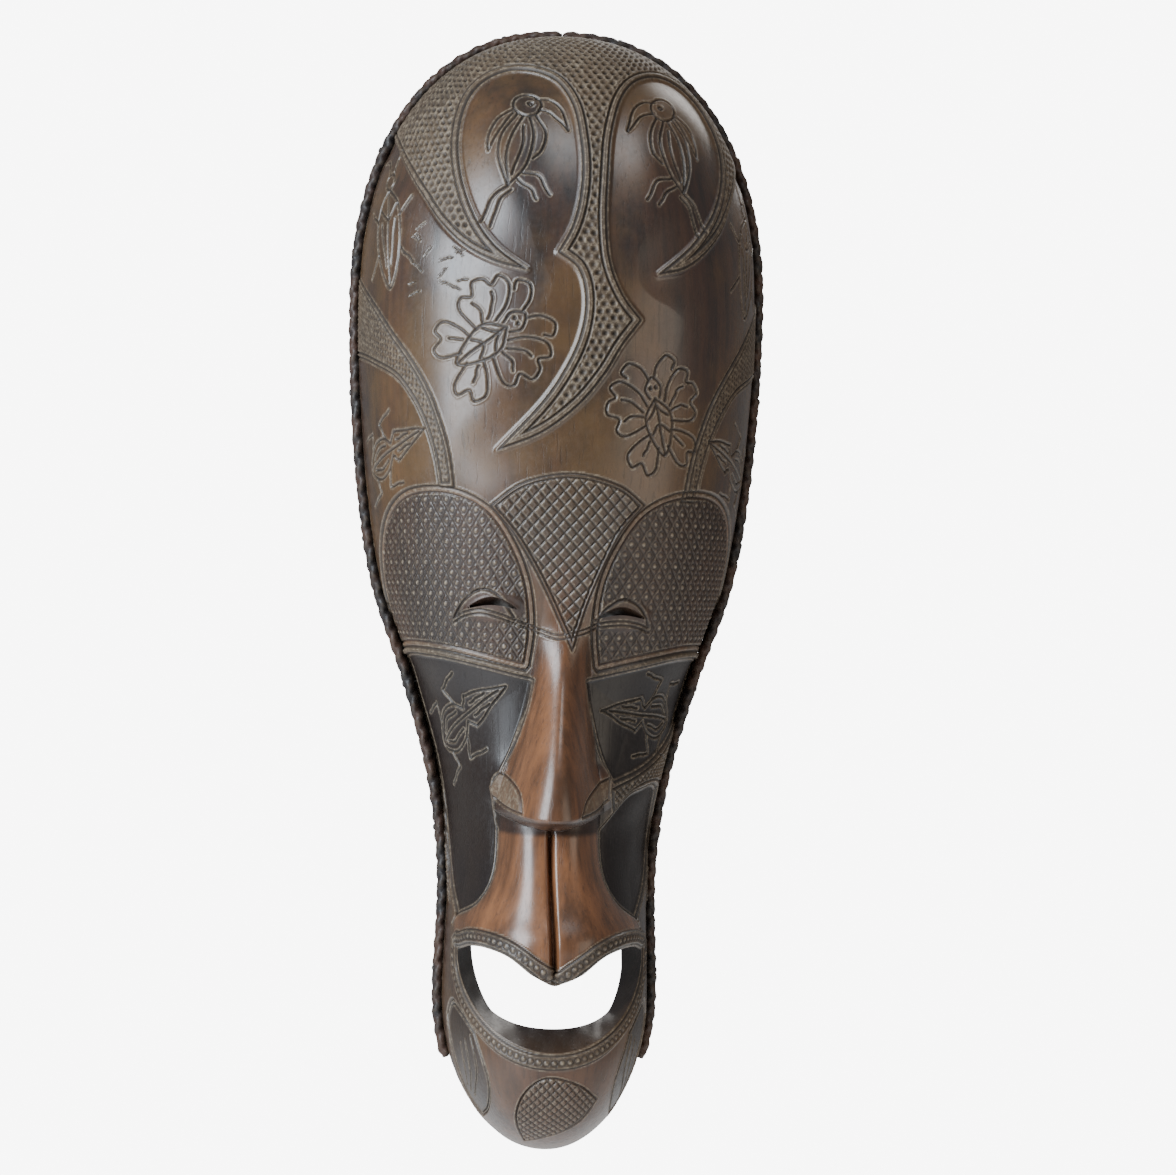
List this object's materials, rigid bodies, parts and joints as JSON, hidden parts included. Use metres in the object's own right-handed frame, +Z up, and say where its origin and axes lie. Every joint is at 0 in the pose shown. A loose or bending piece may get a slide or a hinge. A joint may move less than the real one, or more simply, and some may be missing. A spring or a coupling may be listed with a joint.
{
  "type": "carved wooden wall mask",
  "caption": "Tall hollow carved wooden wall mask with long nose, slit eyes, open crescent mouth, engraved panels, nailed twisted edge band and a ring hanger behind the crown.",
  "frame": {"origin": "on the wall plane (the flat back rim), on the middle line, level with the pin of the ring hanger", "axes": "+Z up, +X to the viewer's right, +Y into the wall, so that the face looks along -Y"},
  "size_m": [0.2252, 0.132, 0.6009],
  "materials": {
    "dark_wood": "black-brown stained hardwood, waxed to a satin gloss",
    "band_wood": "greyish stained twisted strip, dull",
    "tack_steel": "blackened steel, worn on the heads",
    "hanger_steel": "zinc plated steel, dulled"
  },
  "bodies": {
    "mask": {"mask_shell": "dark_wood", "rim_band_left": "band_wood", "rim_band_right": "band_wood", "rim_tacks": "tack_steel", "hanger_strap": "hanger_steel", "hanger_screws": "hanger_steel"},
    "ring": {"hanger_ring": "hanger_steel"}
  },
  "joints": [
    {"name": "ring_hinge", "type": "hinge", "parent": "mask", "child": "ring", "pos_m": [0, -0.00312, 0], "axis": [1, 0, 0], "range_deg": [-60, 170]}
  ]
}
